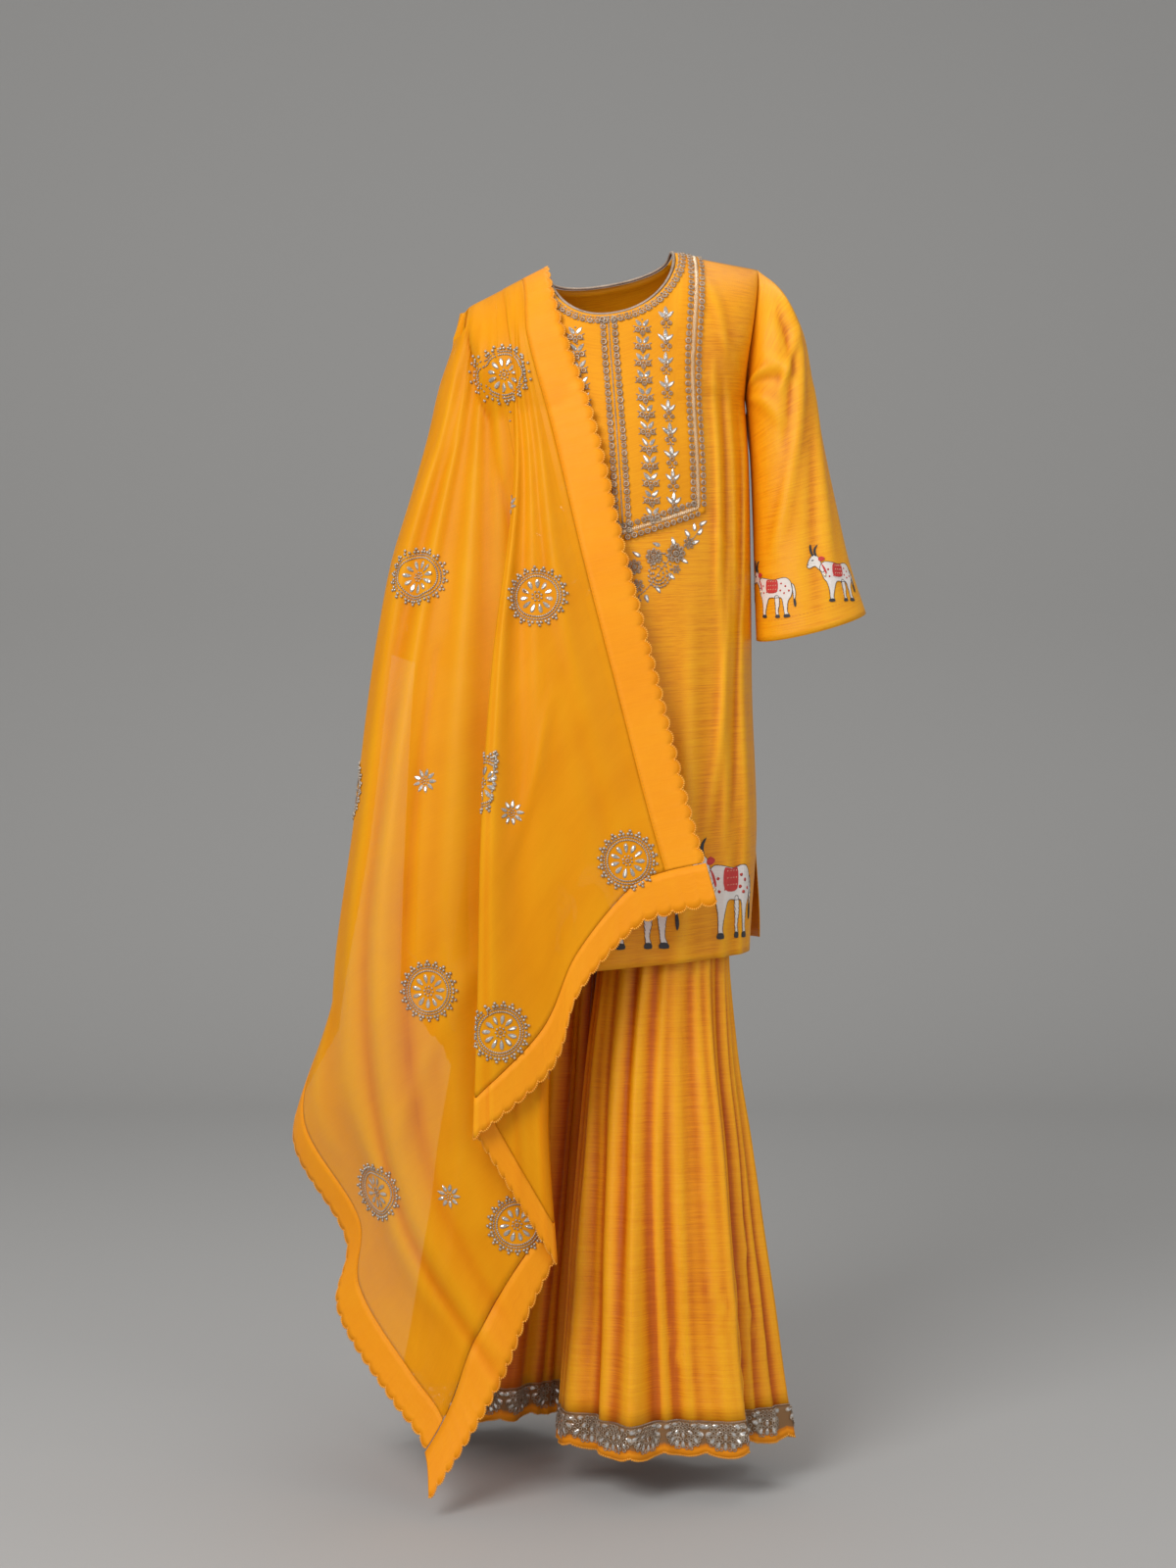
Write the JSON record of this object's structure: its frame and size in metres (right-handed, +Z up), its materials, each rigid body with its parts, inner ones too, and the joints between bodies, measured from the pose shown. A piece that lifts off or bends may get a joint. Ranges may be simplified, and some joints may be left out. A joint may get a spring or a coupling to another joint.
{
  "type": "sharara suit",
  "caption": "Three-piece sharara suit as worn: short kurta with an embroidered yoke, wide flared sharara trousers and a sheer bordered dupatta draped over one shoulder.",
  "frame": {"origin": "between the two points where the shoulder seams meet the neck, where the suit is held", "axes": "+X to the viewer's right, +Y from the front to the back, +Z up"},
  "size_m": [0.7025, 0.3896, 1.4831],
  "materials": {
    "silk": "slubbed silk with a satin sheen",
    "yoke": "grainy raw silk with metal thread",
    "band": "silk strip with metal thread work",
    "cord": "twisted metallic cord",
    "sheer": "sheer organza",
    "border": "smooth opaque silk"
  },
  "bodies": {
    "root": {"kurta_front": "silk", "kurta_back": "silk", "yoke_panel": "yoke", "neck_binding": "cord", "sleeve_right": "silk", "sleeve_left": "silk", "waistband": "silk", "sharara_right": "silk", "sharara_left": "silk", "hem_band_right": "band", "hem_band_left": "band", "dupatta_front": "sheer", "border_inner_front": "border", "border_outer_front": "border", "border_end_front": "border", "dupatta_back": "sheer", "border_inner_back": "border", "border_outer_back": "border", "border_end_back": "border", "latkan": "cord"}
  },
  "joints": []
}
